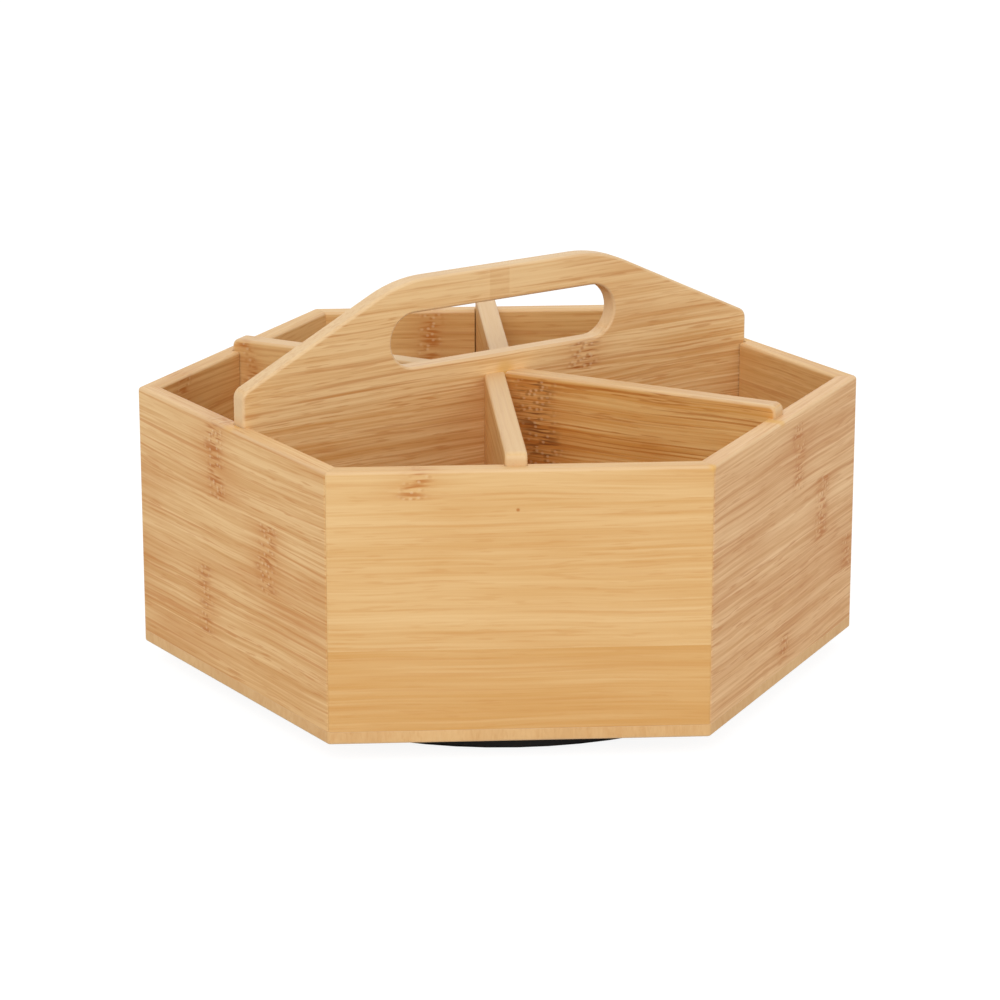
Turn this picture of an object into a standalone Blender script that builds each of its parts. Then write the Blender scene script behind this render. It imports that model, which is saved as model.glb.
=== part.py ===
"""Rotating tea box: a hexagonal bamboo box with six compartments and a carrying handle,
standing on a black turntable that runs on steel balls.

Metres, +Z up. The origin is on the turning axis, on the surface that the feet stand on.
The handle runs along X, and two corners of the hexagon point along Y.
"""

import math

import bmesh
import bpy
from mathutils import Matrix, Vector

# Hexagonal box
SIDE_LENGTH = 0.145
WALL_THICKNESS = 0.008
WALL_HEIGHT = 0.102
CORNER_ROUND = 0.002
RIM_ROUND = 0.0014
BASE_THICKNESS = 0.005
BASE_EDGE_ROUND = 0.001
GROOVE_DEPTH = 0.0035

# Half dividers from the handle panel to four of the walls
DIVIDER_THICKNESS = 0.0085
DIVIDER_RISE = 0.005
DIVIDER_END_ROUND = 0.003
DIVIDER_OFF_MIDDLE = 0.0012

# Handle panel, measured up from the rim of the walls and down from its own top edge
HANDLE_THICKNESS = 0.008
HANDLE_END_RISE = 0.0134
HANDLE_TOP_RISE = 0.0484
HANDLE_FLAT_LENGTH = 0.0958
HANDLE_APEX_ROUND = 0.012
HANDLE_END_ROUND = 0.0045
GRIP_LENGTH = 0.1066
GRIP_HEIGHT = 0.022
GRIP_BAR_HEIGHT = 0.0136
BOARD_EDGE_ROUND = 0.0013

# Turntable plates
FOOT_RADIUS = 0.006
FOOT_THICKNESS = 0.002
FOOT_SOCKET_DEPTH = 0.0008
FOOT_EDGE_ROUND = 0.0005
FOOT_COUNT = 6
FOOT_INSET = 0.012
DISC_INSET = 0.011
DISC_THICKNESS = 0.0027
DISC_EDGE_ROUND = 0.0008
LIP_HEIGHT = 0.0018
LIP_THICKNESS = 0.002
SKIN_THICKNESS = 0.0012
OUTER_BAND_WIDTH = 0.024
RIB_COUNT = 12
RIB_THICKNESS = 0.0016
TOP_PLATE_THICKNESS = 0.0024
TOP_FLANGE_WIDTH = 0.013

# Ball race
BALL_RADIUS = 0.002
BALL_COUNT = 18
RACE_RADIUS = 0.050
RAIL_WIDTH = 0.010
PLATE_SPACING = 0.0016
CAGE_THICKNESS = 0.0008
CAGE_WIDTH = 0.010

# Pivot rivet in the middle
PIVOT_RADIUS = 0.003
PIVOT_HEAD_RADIUS = 0.0062
PIVOT_HEAD_THICKNESS = 0.0009
PIVOT_CROWN_RADIUS = 0.005
PIVOT_CROWN_THICKNESS = 0.0008
PIVOT_HEAD_SINK = 0.0002
PIVOT_BOSS_WALL = 0.004
WASHER_RADIUS = 0.008

# Wood screws that hold the top plate under the box
SCREW_COUNT = 6
SCREW_RADIUS = 0.0015
SCREW_HEAD_RADIUS = 0.003
SCREW_HEAD_SINK = 0.0001
SCREW_TIP_LENGTH = 0.0016
SCREW_TIP_COVER = 0.001
DRIVER_HOLE_RADIUS = 0.0045

# Fits: the line left between touching pieces, and the room that a turning piece runs in
GLUE_GAP = 0.0003
RUN_GAP = 0.0003

# Facets
PLATE_STEPS = 60
SMALL_STEPS = 16
BALL_STEPS = 10
EDGE_STEPS = 2
ARC_STEP = math.radians(13)
COARSE_STEP = math.radians(30)
SMOOTH_ANGLE = math.radians(34)

SIXTH = math.radians(60)
OVERSHOOT = 0.002

# Plan of the box, from the axis outwards
APOTHEM = SIDE_LENGTH * math.cos(SIXTH / 2)
INNER_APOTHEM = APOTHEM - WALL_THICKNESS
BOARD_REACH = INNER_APOTHEM + GROOVE_DEPTH - GLUE_GAP

# Plan of the back right half divider. It starts on the face of the handle panel, just beside
# the middle of the box, and meets the inside of its wall a little off the wall's middle.
DIVIDER_START = Vector((
    GLUE_GAP / 2 + DIVIDER_THICKNESS / 2 / math.sin(SIXTH),
    HANDLE_THICKNESS / 2 + GLUE_GAP,
))
DIVIDER_WALL_POINT = Vector((
    INNER_APOTHEM * math.cos(SIXTH) + DIVIDER_OFF_MIDDLE * math.sin(SIXTH),
    INNER_APOTHEM * math.sin(SIXTH) - DIVIDER_OFF_MIDDLE * math.cos(SIXTH),
))
DIVIDER_LINE = DIVIDER_WALL_POINT - DIVIDER_START
DIVIDER_RUN = DIVIDER_LINE.length
DIVIDER_ANGLE = math.atan2(DIVIDER_LINE.y, DIVIDER_LINE.x)

# Plan of the turntable, from the axis outwards
DISC_RADIUS = APOTHEM - DISC_INSET
FOOT_CIRCLE = DISC_RADIUS - FOOT_INSET
BAND_RADIUS = DISC_RADIUS - OUTER_BAND_WIDTH
RAIL_INNER = RACE_RADIUS - RAIL_WIDTH / 2
RAIL_OUTER = RACE_RADIUS + RAIL_WIDTH / 2
TOP_PLATE_RADIUS = RAIL_OUTER + TOP_FLANGE_WIDTH
SCREW_CIRCLE = RAIL_OUTER + TOP_FLANGE_WIDTH / 2
GROOVE_RADIUS = BALL_RADIUS + RUN_GAP
BOSS_RADIUS = PIVOT_HEAD_RADIUS + RUN_GAP + PIVOT_BOSS_WALL

# Heights, from the ground up
DISC_BOTTOM = FOOT_THICKNESS + GLUE_GAP - FOOT_SOCKET_DEPTH
DISC_TOP = DISC_BOTTOM + DISC_THICKNESS
SKIN_BOTTOM = DISC_TOP - SKIN_THICKNESS
LIP_TOP = DISC_TOP + LIP_HEIGHT
BALL_HEIGHT = DISC_TOP + PLATE_SPACING / 2
TOP_PLATE_BOTTOM = DISC_TOP + PLATE_SPACING
TOP_PLATE_TOP = TOP_PLATE_BOTTOM + TOP_PLATE_THICKNESS
BASE_BOTTOM = TOP_PLATE_TOP + GLUE_GAP
BASE_TOP = BASE_BOTTOM + BASE_THICKNESS
BOARD_BOTTOM = BASE_TOP + GLUE_GAP
RIM_HEIGHT = BOARD_BOTTOM + WALL_HEIGHT
DIVIDER_TOP = RIM_HEIGHT + DIVIDER_RISE
HANDLE_END_TOP = RIM_HEIGHT + HANDLE_END_RISE
HANDLE_TOP = RIM_HEIGHT + HANDLE_TOP_RISE
GRIP_CENTRE = HANDLE_TOP - GRIP_BAR_HEIGHT - GRIP_HEIGHT / 2


def clear_scene():
    for obj in list(bpy.data.objects):
        bpy.data.objects.remove(obj, do_unlink=True)


def make_material(name, colour, roughness, metallic=0.0):
    material = bpy.data.materials.new(name)
    material.use_nodes = True
    shader = material.node_tree.nodes["Principled BSDF"]
    shader.inputs["Base Color"].default_value = (*colour, 1)
    shader.inputs["Roughness"].default_value = roughness
    shader.inputs["Metallic"].default_value = metallic
    material.diffuse_color = (*colour, 1)
    return material


def add_empty(name, height):
    empty = bpy.data.objects.new(name, None)
    empty.location.z = height
    bpy.context.scene.collection.objects.link(empty)
    return empty


def add_piece(name, mesh, material, parent=None, angle=0.0):
    """An object at the axis, turned about it by angle. Its place is kept under its parent."""
    obj = bpy.data.objects.new(name, mesh)
    if not mesh.materials:
        mesh.materials.append(material)
    obj.rotation_euler.z = angle
    if parent:
        obj.parent = parent
        obj.matrix_parent_inverse = Matrix.Translation(-parent.location)
    bpy.context.scene.collection.objects.link(obj)
    return obj


def add_cutter(name, mesh, angle=0.0, place=(0, 0)):
    obj = bpy.data.objects.new(name, mesh)
    obj.rotation_euler.z = angle
    obj.location = (*place, 0)
    obj.hide_render = True
    obj.display_type = "WIRE"
    bpy.context.scene.collection.objects.link(obj)
    return obj


def combine(piece, other, operation="DIFFERENCE"):
    modifier = piece.modifiers.new(other.name, "BOOLEAN")
    modifier.operation = operation
    modifier.solver = "EXACT"
    modifier.object = other


def to_mesh(shape, name, smooth=True):
    bmesh.ops.recalc_face_normals(shape, faces=shape.faces)
    mesh = bpy.data.meshes.new(name)
    shape.to_mesh(mesh)
    shape.free()
    if smooth:
        mesh.shade_smooth()
        mesh.set_sharp_from_angle(angle=SMOOTH_ANGLE)
    return mesh


def arc(centre, radius, start, end, widest=ARC_STEP):
    """Points on an arc of a circle, from angle start to angle end, at most widest apart."""
    steps = max(2, math.ceil(abs(end - start) / widest))
    angles = [start + (end - start) * step / steps for step in range(steps + 1)]
    return [centre + Vector((math.cos(a), math.sin(a))) * radius for a in angles]


def rounded_outline(corners):
    """Outline through (point, radius) corners. A corner's arc touches both of its sides."""
    outline = []
    for number, (corner, radius) in enumerate(corners):
        if not radius:
            outline.append(corner)
            continue
        before = (corners[number - 1][0] - corner).normalized()
        after = (corners[(number + 1) % len(corners)][0] - corner).normalized()
        half = before.angle(after) / 2
        centre = corner + (before + after).normalized() * radius / math.sin(half)
        first = corner + before * radius / math.tan(half) - centre
        turn = math.pi - 2 * half
        start = math.atan2(first.y, first.x)
        outline += arc(centre, radius, start, start + turn)
    return outline


def inset_outline(outline, inset, square_edges):
    """Each side moves inwards by inset, to the left of its direction, except a square edge."""
    moved = []
    count = len(outline)
    for number, point in enumerate(outline):
        sides = []
        for edge in ((number - 1) % count, number):
            along = (outline[(edge + 1) % count] - outline[edge]).normalized()
            sides.append((Vector((-along.y, along.x)), 0 if edge in square_edges else inset))
        (first, first_inset), (second, second_inset) = sides
        turn = first.dot(second)
        if turn > 0.99999:
            moved.append(point + first * first_inset)
            continue
        spread = 1 - turn * turn
        moved.append(
            point
            + first * (first_inset - turn * second_inset) / spread
            + second * (second_inset - turn * first_inset) / spread
        )
    return moved


def layered_solid(loops, layers, square_edges=()):
    """A closed solid from flat outlines, stacked in layers of (inset, height).

    The first loop is the outside and runs anticlockwise, the others are holes and run
    clockwise. square_edges numbers the sides of the outside that no layer draws in.
    """
    shape = bmesh.new()
    ends = {0: [], len(layers) - 1: []}
    for loop_number, loop in enumerate(loops):
        squared = square_edges if loop_number == 0 else ()
        rings = []
        for inset, height in layers:
            outline = inset_outline(loop, inset, squared)
            rings.append([shape.verts.new((p.x, p.y, height)) for p in outline])
        count = len(loop)
        for low, high in zip(rings, rings[1:]):
            for i in range(count):
                j = (i + 1) % count
                shape.faces.new((low[i], low[j], high[j], high[i]))
        for layer in ends:
            ring = rings[layer]
            ends[layer] += [shape.edges.get((ring[i - 1], ring[i])) for i in range(count)]
    for edges in ends.values():
        bmesh.ops.triangle_fill(shape, use_beauty=True, edges=edges)
    return shape


def eased_layers(bottom, top, bottom_round=0.0, top_round=0.0):
    """Layers of a slab whose lower and upper edges are rounded by quarter circles."""
    layers = []
    for step in range(EDGE_STEPS + 1 if bottom_round else 1):
        angle = math.pi / 2 * (1 - step / EDGE_STEPS)
        layers.append((bottom_round * (1 - math.cos(angle)), bottom + bottom_round * (1 - math.sin(angle))))
    for step in range(EDGE_STEPS + 1 if top_round else 1):
        angle = math.pi / 2 * step / EDGE_STEPS
        layers.append((top_round * (1 - math.cos(angle)), top - top_round * (1 - math.sin(angle))))
    return layers


def stood_up(shape):
    """Turns a flat board up onto its long edge: its outline then lies in the XZ plane."""
    bmesh.ops.rotate(shape, verts=shape.verts, matrix=Matrix.Rotation(math.pi / 2, 3, "X"))
    return shape


def box_shape(low, high):
    shape = bmesh.new()
    size = [b - a for a, b in zip(low, high)]
    centre = [(a + b) / 2 for a, b in zip(low, high)]
    matrix = Matrix.Translation(centre) @ Matrix.Diagonal((*size, 1))
    bmesh.ops.create_cube(shape, size=1, matrix=matrix)
    return shape


def rod_shape(radius, bottom, top, steps=SMALL_STEPS, place=(0, 0)):
    shape = bmesh.new()
    matrix = Matrix.Translation((*place, (bottom + top) / 2))
    bmesh.ops.create_cone(
        shape,
        cap_ends=True,
        segments=steps,
        radius1=radius,
        radius2=radius,
        depth=top - bottom,
        matrix=matrix,
    )
    return shape


def turned_shape(profile, steps):
    """A profile of (radius, height) points, turned once round the Z axis."""
    shape = bmesh.new()
    points = [shape.verts.new((radius, 0, height)) for radius, height in profile]
    closed = points[0].co.x > 0
    pairs = zip(points, points[1:] + points[:1]) if closed else zip(points, points[1:])
    edges = [shape.edges.new(pair) for pair in pairs]
    bmesh.ops.spin(
        shape,
        geom=points + edges,
        cent=(0, 0, 0),
        axis=(0, 0, 1),
        angle=2 * math.pi,
        steps=steps,
        use_merge=True,
    )
    bmesh.ops.remove_doubles(shape, verts=shape.verts, dist=1e-6)
    return shape


def join_shapes(shapes):
    """One mesh of several separate bodies, for a cutter that cuts many places at once."""
    joined = bmesh.new()
    for shape in shapes:
        mesh = to_mesh(shape, "joined", smooth=False)
        joined.from_mesh(mesh)
        bpy.data.meshes.remove(mesh)
    return joined


def round_the_axis(count, radius, offset=0.0):
    """(x, y, angle) of count places spread evenly on a circle."""
    angles = [offset + 2 * math.pi * number / count for number in range(count)]
    return [(radius * math.cos(a), radius * math.sin(a), a) for a in angles]


def box_corner(angle):
    """The rounded corner of the hexagon at this angle: the centre of its arc."""
    reach = SIDE_LENGTH - CORNER_ROUND / math.cos(SIXTH / 2)
    return Vector((math.cos(angle), math.sin(angle))) * reach


def wall_outline():
    """Plan of the wall that faces +X, mitred at both ends, and the numbers of its mitred sides."""
    half_gap = GLUE_GAP / 2
    last = SIXTH / 2 - math.asin(half_gap / CORNER_ROUND)
    outer = arc(box_corner(SIXTH / 2), CORNER_ROUND, 0, last)
    inner_y = (INNER_APOTHEM - half_gap * math.sin(SIXTH / 2)) * math.tan(SIXTH / 2)
    inner_y -= half_gap * math.cos(SIXTH / 2)
    inner = Vector((INNER_APOTHEM, inner_y))
    half = outer + [inner]
    outline = half + [Vector((p.x, -p.y)) for p in reversed(half)]
    return outline, (len(outer) - 1, len(outer) + 1)


def make_walls(material, parent, cutters):
    outline, mitres = wall_outline()
    rim_round = min(RIM_ROUND, 0.9 * CORNER_ROUND)
    layers = eased_layers(BOARD_BOTTOM, RIM_HEIGHT, top_round=rim_round)
    mesh = to_mesh(layered_solid([outline], layers, mitres), "wall")
    names = ("right", "back_right", "back_left", "left", "front_left", "front_right")
    for number, name in enumerate(names):
        wall = add_piece("wall_" + name, mesh, material, parent, number * SIXTH)
        combine(wall, cutters[number])


def divider_places():
    """Name, turn, starting point and wall number of the four half dividers.

    The high line rises to the right in the plan, the low line falls. Each has a near and a far half.
    """
    x, y = DIVIDER_START
    return (
        ("divider_high_far", DIVIDER_ANGLE, (x, y), 1),
        ("divider_low_far", math.pi - DIVIDER_ANGLE, (-x, y), 2),
        ("divider_high", math.pi + DIVIDER_ANGLE, (-x, -y), 4),
        ("divider_low", -DIVIDER_ANGLE, (x, -y), 5),
    )


def groove_box(name, thickness, start):
    """The space for a board's end, from inside the box to the bottom of the groove at start."""
    half = thickness / 2 + GLUE_GAP
    low = (start - OVERSHOOT, -half, BOARD_BOTTOM - OVERSHOOT)
    high = (start + GROOVE_DEPTH, half, RIM_HEIGHT + OVERSHOOT)
    return to_mesh(box_shape(low, high), name, smooth=False)


def make_groove_cutters():
    """One box for each wall number: a groove down its inner face, open at both ends."""
    cutters = {}
    mesh = groove_box("handle_groove", HANDLE_THICKNESS, INNER_APOTHEM)
    for number in (0, 3):
        cutters[number] = add_cutter(f"handle_groove_{number}", mesh, number * SIXTH)
    mesh = groove_box("divider_groove", DIVIDER_THICKNESS, DIVIDER_RUN)
    for name, angle, place, number in divider_places():
        cutters[number] = add_cutter(name + "_groove", mesh, angle, place)
    return cutters


def make_base_board(material, parent):
    outline = []
    for number in range(6):
        angle = SIXTH * (number - 0.5)
        outline += arc(box_corner(angle), CORNER_ROUND, angle - SIXTH / 2, angle + SIXTH / 2)
    base_round = min(BASE_EDGE_ROUND, 0.9 * CORNER_ROUND)
    layers = eased_layers(BASE_BOTTOM, BASE_TOP, bottom_round=base_round)
    board = add_piece("base_board", to_mesh(layered_solid([outline], layers), "base_board"), material, parent)
    pilot_top = BASE_TOP - SCREW_TIP_COVER + GLUE_GAP
    pilots = [
        rod_shape(SCREW_RADIUS + GLUE_GAP, BASE_BOTTOM - OVERSHOOT, pilot_top, place=(x, y))
        for x, y, _ in round_the_axis(SCREW_COUNT, SCREW_CIRCLE)
    ]
    combine(board, add_cutter("pilot_holes", to_mesh(join_shapes(pilots), "pilot_holes", smooth=False)))


def make_dividers(material, parent):
    """Four equal boards, square at the wall and cut off along the face of the handle panel."""
    reach = DIVIDER_RUN + GROOVE_DEPTH - GLUE_GAP
    half = DIVIDER_THICKNESS / 2
    corners = [
        (Vector((-half, BOARD_BOTTOM)), 0),
        (Vector((reach, BOARD_BOTTOM)), 0),
        (Vector((reach, DIVIDER_TOP)), DIVIDER_END_ROUND),
        (Vector((-half, DIVIDER_TOP)), 0),
    ]
    edge_round = min(BOARD_EDGE_ROUND, 0.9 * DIVIDER_END_ROUND)
    layers = eased_layers(-half, half, edge_round, edge_round)
    mesh = to_mesh(stood_up(layered_solid([rounded_outline(corners)], layers)), "half_divider")
    side = HANDLE_THICKNESS / 2 + GLUE_GAP
    low = (-3 * DIVIDER_THICKNESS, -side, BOARD_BOTTOM - OVERSHOOT)
    high = (3 * DIVIDER_THICKNESS, side, DIVIDER_TOP + OVERSHOOT)
    cutter = add_cutter("handle_room", to_mesh(box_shape(low, high), "handle_room", smooth=False))
    for name, angle, place, _ in divider_places():
        divider = add_piece(name, mesh, material, parent, angle)
        divider.location = (*place, 0)
        combine(divider, cutter)


def make_handle(material, parent):
    flat = HANDLE_FLAT_LENGTH / 2
    corners = [
        (Vector((-BOARD_REACH, BOARD_BOTTOM)), 0),
        (Vector((BOARD_REACH, BOARD_BOTTOM)), 0),
        (Vector((BOARD_REACH, HANDLE_END_TOP)), HANDLE_END_ROUND),
        (Vector((flat, HANDLE_TOP)), HANDLE_APEX_ROUND),
        (Vector((-flat, HANDLE_TOP)), HANDLE_APEX_ROUND),
        (Vector((-BOARD_REACH, HANDLE_END_TOP)), HANDLE_END_ROUND),
    ]
    radius = GRIP_HEIGHT / 2
    run = GRIP_LENGTH / 2 - radius
    quarter = math.pi / 2
    grip = arc(Vector((run, GRIP_CENTRE)), radius, quarter, -quarter)
    grip += arc(Vector((-run, GRIP_CENTRE)), radius, -quarter, -3 * quarter)
    half = HANDLE_THICKNESS / 2
    edge_round = min(BOARD_EDGE_ROUND, 0.9 * HANDLE_END_ROUND)
    layers = eased_layers(-half, half, edge_round, edge_round)
    shape = stood_up(layered_solid([rounded_outline(corners), grip], layers))
    add_piece("handle_panel", to_mesh(shape, "handle_panel"), material, parent)


def race_groove(side):
    """Profile of a ball groove, from the outside in: below the balls for side -1, above for 1."""
    sink = math.asin(PLATE_SPACING / 2 / GROOVE_RADIUS)
    start, end = (sink, math.pi - sink) if side > 0 else (-sink, sink - math.pi)
    centre = Vector((RACE_RADIUS, BALL_HEIGHT))
    return [(p.x, p.y) for p in arc(centre, GROOVE_RADIUS, start, end, COARSE_STEP)]


def make_turntable_base(material):
    """The round lower plate: a thin skin with rails, a centre boss and ribs under it, and a lip."""
    hole = PIVOT_RADIUS + RUN_GAP
    recess = PIVOT_HEAD_RADIUS + RUN_GAP
    recess_top = DISC_BOTTOM + PIVOT_HEAD_SINK + PIVOT_HEAD_THICKNESS + RUN_GAP
    low_edge = Vector((DISC_RADIUS - DISC_EDGE_ROUND, DISC_BOTTOM + DISC_EDGE_ROUND))
    rounding = arc(low_edge, DISC_EDGE_ROUND, -math.pi / 2, 0, COARSE_STEP)
    half_lip = LIP_THICKNESS / 2
    lip_edge = Vector((DISC_RADIUS - half_lip, LIP_TOP - half_lip))
    lip = arc(lip_edge, half_lip, 0, math.pi, COARSE_STEP)
    profile = [(hole, recess_top), (recess, recess_top), (recess, DISC_BOTTOM)]
    profile += [(BOSS_RADIUS, DISC_BOTTOM), (BOSS_RADIUS, SKIN_BOTTOM)]
    profile += [(RAIL_INNER, SKIN_BOTTOM), (RAIL_INNER, DISC_BOTTOM)]
    profile += [(RAIL_OUTER, DISC_BOTTOM), (RAIL_OUTER, SKIN_BOTTOM)]
    profile += [(BAND_RADIUS, SKIN_BOTTOM), (BAND_RADIUS, DISC_BOTTOM)]
    profile += [(p.x, p.y) for p in rounding + lip]
    profile += [(DISC_RADIUS - LIP_THICKNESS, DISC_TOP)]
    profile += race_groove(-1)
    profile += [(hole, DISC_TOP)]
    plate = add_piece("turntable_base", to_mesh(turned_shape(profile, PLATE_STEPS), "turntable_base"), material)

    ribs = []
    bite = SKIN_THICKNESS / 2
    half = RIB_THICKNESS / 2
    for x, y, angle in round_the_axis(RIB_COUNT, 1, math.pi / RIB_COUNT):
        for start, end in ((BOSS_RADIUS, RAIL_INNER), (RAIL_OUTER, BAND_RADIUS)):
            rib = box_shape((start - bite, -half, DISC_BOTTOM), (end + bite, half, SKIN_BOTTOM + bite))
            bmesh.ops.rotate(rib, verts=rib.verts, matrix=Matrix.Rotation(angle, 3, "Z"))
            ribs.append(rib)
    combine(plate, add_cutter("ribs", to_mesh(join_shapes(ribs), "ribs", smooth=False)), "UNION")

    socket_top = DISC_BOTTOM + FOOT_SOCKET_DEPTH
    holes = [
        rod_shape(FOOT_RADIUS + GLUE_GAP, DISC_BOTTOM - OVERSHOOT, socket_top, place=(x, y))
        for x, y, _ in round_the_axis(FOOT_COUNT, FOOT_CIRCLE)
    ]
    driver_hole = rod_shape(DRIVER_HOLE_RADIUS, 0, LIP_TOP, place=(SCREW_CIRCLE, 0))
    combine(plate, add_cutter("foot_sockets", to_mesh(join_shapes(holes), "foot_sockets", smooth=False)))
    combine(plate, add_cutter("driver_hole", to_mesh(driver_hole, "driver_hole", smooth=False)))
    return plate


def make_turntable_top(material, parent):
    """The upper plate, screwed under the box. Its ball groove faces down."""
    hole = PIVOT_RADIUS + GLUE_GAP
    recess = PIVOT_CROWN_RADIUS + GLUE_GAP
    crown_seat = pivot_crown_bottom() - GLUE_GAP
    profile = [(hole, TOP_PLATE_BOTTOM)]
    profile += reversed(race_groove(1))
    profile += [(TOP_PLATE_RADIUS, TOP_PLATE_BOTTOM), (TOP_PLATE_RADIUS, TOP_PLATE_TOP)]
    profile += [(recess, TOP_PLATE_TOP), (recess, crown_seat), (hole, crown_seat)]
    shape = turned_shape(profile, PLATE_STEPS)
    plate = add_piece("turntable_top", to_mesh(shape, "turntable_top"), material, parent)
    sinks = []
    for x, y, _ in round_the_axis(SCREW_COUNT, SCREW_CIRCLE):
        sink = turned_shape(screw_profile(GLUE_GAP), SMALL_STEPS)
        bmesh.ops.translate(sink, verts=sink.verts, vec=(x, y, 0))
        sinks.append(sink)
    combine(plate, add_cutter("screw_sinks", to_mesh(join_shapes(sinks), "screw_sinks", smooth=False)))


def pivot_crown_bottom():
    return TOP_PLATE_TOP - PIVOT_CROWN_THICKNESS


def screw_profile(grown=0.0):
    """A countersunk wood screw, head down. Grown by a gap it is the hole that the screw needs."""
    head = TOP_PLATE_BOTTOM + SCREW_HEAD_SINK
    neck = head + SCREW_HEAD_RADIUS - SCREW_RADIUS
    tip = BASE_TOP - SCREW_TIP_COVER
    wide = SCREW_HEAD_RADIUS + grown
    thin = SCREW_RADIUS + grown
    start = head if not grown else TOP_PLATE_BOTTOM - OVERSHOOT
    profile = [(0, start), (wide, start)]
    if grown:
        profile += [(wide, head)]
    return profile + [(thin, neck), (thin, tip - SCREW_TIP_LENGTH), (0, tip + grown)]


def make_screws(material, parent):
    mesh = to_mesh(turned_shape(screw_profile(), SMALL_STEPS), "screw")
    for number, (x, y, _) in enumerate(round_the_axis(SCREW_COUNT, SCREW_CIRCLE), 1):
        screw = add_piece(f"screw_{number}", mesh, material, parent)
        screw.location = (x, y, 0)


def make_pivot(steel, nylon, parent):
    head = DISC_BOTTOM + PIVOT_HEAD_SINK
    crown = pivot_crown_bottom()
    profile = [(0, head), (PIVOT_HEAD_RADIUS, head)]
    profile += [(PIVOT_HEAD_RADIUS, head + PIVOT_HEAD_THICKNESS)]
    profile += [(PIVOT_RADIUS, head + PIVOT_HEAD_THICKNESS), (PIVOT_RADIUS, crown)]
    profile += [(PIVOT_CROWN_RADIUS, crown), (PIVOT_CROWN_RADIUS, TOP_PLATE_TOP), (0, TOP_PLATE_TOP)]
    add_piece("pivot_rivet", to_mesh(turned_shape(profile, 2 * SMALL_STEPS), "pivot_rivet"), steel, parent)
    hole = PIVOT_RADIUS + RUN_GAP
    low = DISC_TOP + GLUE_GAP
    high = TOP_PLATE_BOTTOM - RUN_GAP
    ring = [(hole, low), (WASHER_RADIUS, low), (WASHER_RADIUS, high), (hole, high)]
    add_piece("pivot_washer", to_mesh(turned_shape(ring, 2 * SMALL_STEPS), "pivot_washer"), nylon)


def make_cage(material, parent):
    """The flat ring that keeps the balls apart, with a round pocket for each."""
    low = BALL_HEIGHT - CAGE_THICKNESS / 2
    high = BALL_HEIGHT + CAGE_THICKNESS / 2
    inner = RACE_RADIUS - CAGE_WIDTH / 2
    outer = RACE_RADIUS + CAGE_WIDTH / 2
    ring = [(inner, low), (outer, low), (outer, high), (inner, high)]
    cage = add_piece("ball_cage", to_mesh(turned_shape(ring, PLATE_STEPS), "ball_cage"), material, parent)
    pockets = [
        rod_shape(BALL_RADIUS + RUN_GAP, low - OVERSHOOT, high + OVERSHOOT, 12, (x, y))
        for x, y, _ in round_the_axis(BALL_COUNT, RACE_RADIUS)
    ]
    combine(cage, add_cutter("ball_pockets", to_mesh(join_shapes(pockets), "ball_pockets", smooth=False)))


def make_balls(material, parent):
    ball = bmesh.new()
    bmesh.ops.create_uvsphere(ball, u_segments=BALL_STEPS, v_segments=BALL_STEPS - 3, radius=BALL_RADIUS)
    mesh = to_mesh(ball, "ball")
    mesh.shade_smooth()
    for number, (x, y, _) in enumerate(round_the_axis(BALL_COUNT, RACE_RADIUS), 1):
        piece = add_piece(f"ball_{number:02d}", mesh, material, parent)
        piece.location = (x, y, BALL_HEIGHT)


def make_feet(material):
    low_edge = Vector((FOOT_RADIUS - FOOT_EDGE_ROUND, FOOT_EDGE_ROUND))
    rounding = arc(low_edge, FOOT_EDGE_ROUND, -math.pi / 2, 0, COARSE_STEP)
    profile = [(0, 0)] + [(p.x, p.y) for p in rounding]
    profile += [(FOOT_RADIUS, FOOT_THICKNESS), (0, FOOT_THICKNESS)]
    mesh = to_mesh(turned_shape(profile, SMALL_STEPS), "foot")
    for number, (x, y, _) in enumerate(round_the_axis(FOOT_COUNT, FOOT_CIRCLE), 1):
        foot = add_piece(f"foot_{number}", mesh, material)
        foot.location = (x, y, 0)


def main():
    clear_scene()
    bamboo = make_material("bamboo", (0.75, 0.46, 0.19), 0.5)
    black = make_material("black_plastic", (0.012, 0.012, 0.013), 0.45)
    nylon = make_material("nylon", (0.72, 0.70, 0.64), 0.4)
    steel = make_material("steel", (0.62, 0.62, 0.63), 0.25, 1.0)
    rubber = make_material("rubber", (0.03, 0.03, 0.03), 0.8)

    box_turn = add_empty("box_turn", BASE_BOTTOM)
    cage_turn = add_empty("cage_turn", BALL_HEIGHT)

    make_turntable_base(black)
    make_feet(rubber)
    make_cage(nylon, cage_turn)
    make_balls(steel, cage_turn)
    make_turntable_top(black, box_turn)
    make_screws(steel, box_turn)
    make_pivot(steel, nylon, box_turn)
    make_base_board(bamboo, box_turn)
    make_walls(bamboo, box_turn, make_groove_cutters())
    make_dividers(bamboo, box_turn)
    make_handle(bamboo, box_turn)


main()
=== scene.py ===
# %% [markdown]
# # A turning tea box in bamboo
#
# The object is a six-sided box of pale bamboo board. A tall board across it carries the handle, and four half
# dividers run from that board to the walls, which makes six compartments for tea bags. The box turns on a flat black
# turntable.
#
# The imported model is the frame. It gives every size and place in metres, with the turning axis on Z, and each new
# piece is set into it without any fitting.

# %% Load the frame
import math

import bpy
import numpy as np
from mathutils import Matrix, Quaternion, Vector


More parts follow.
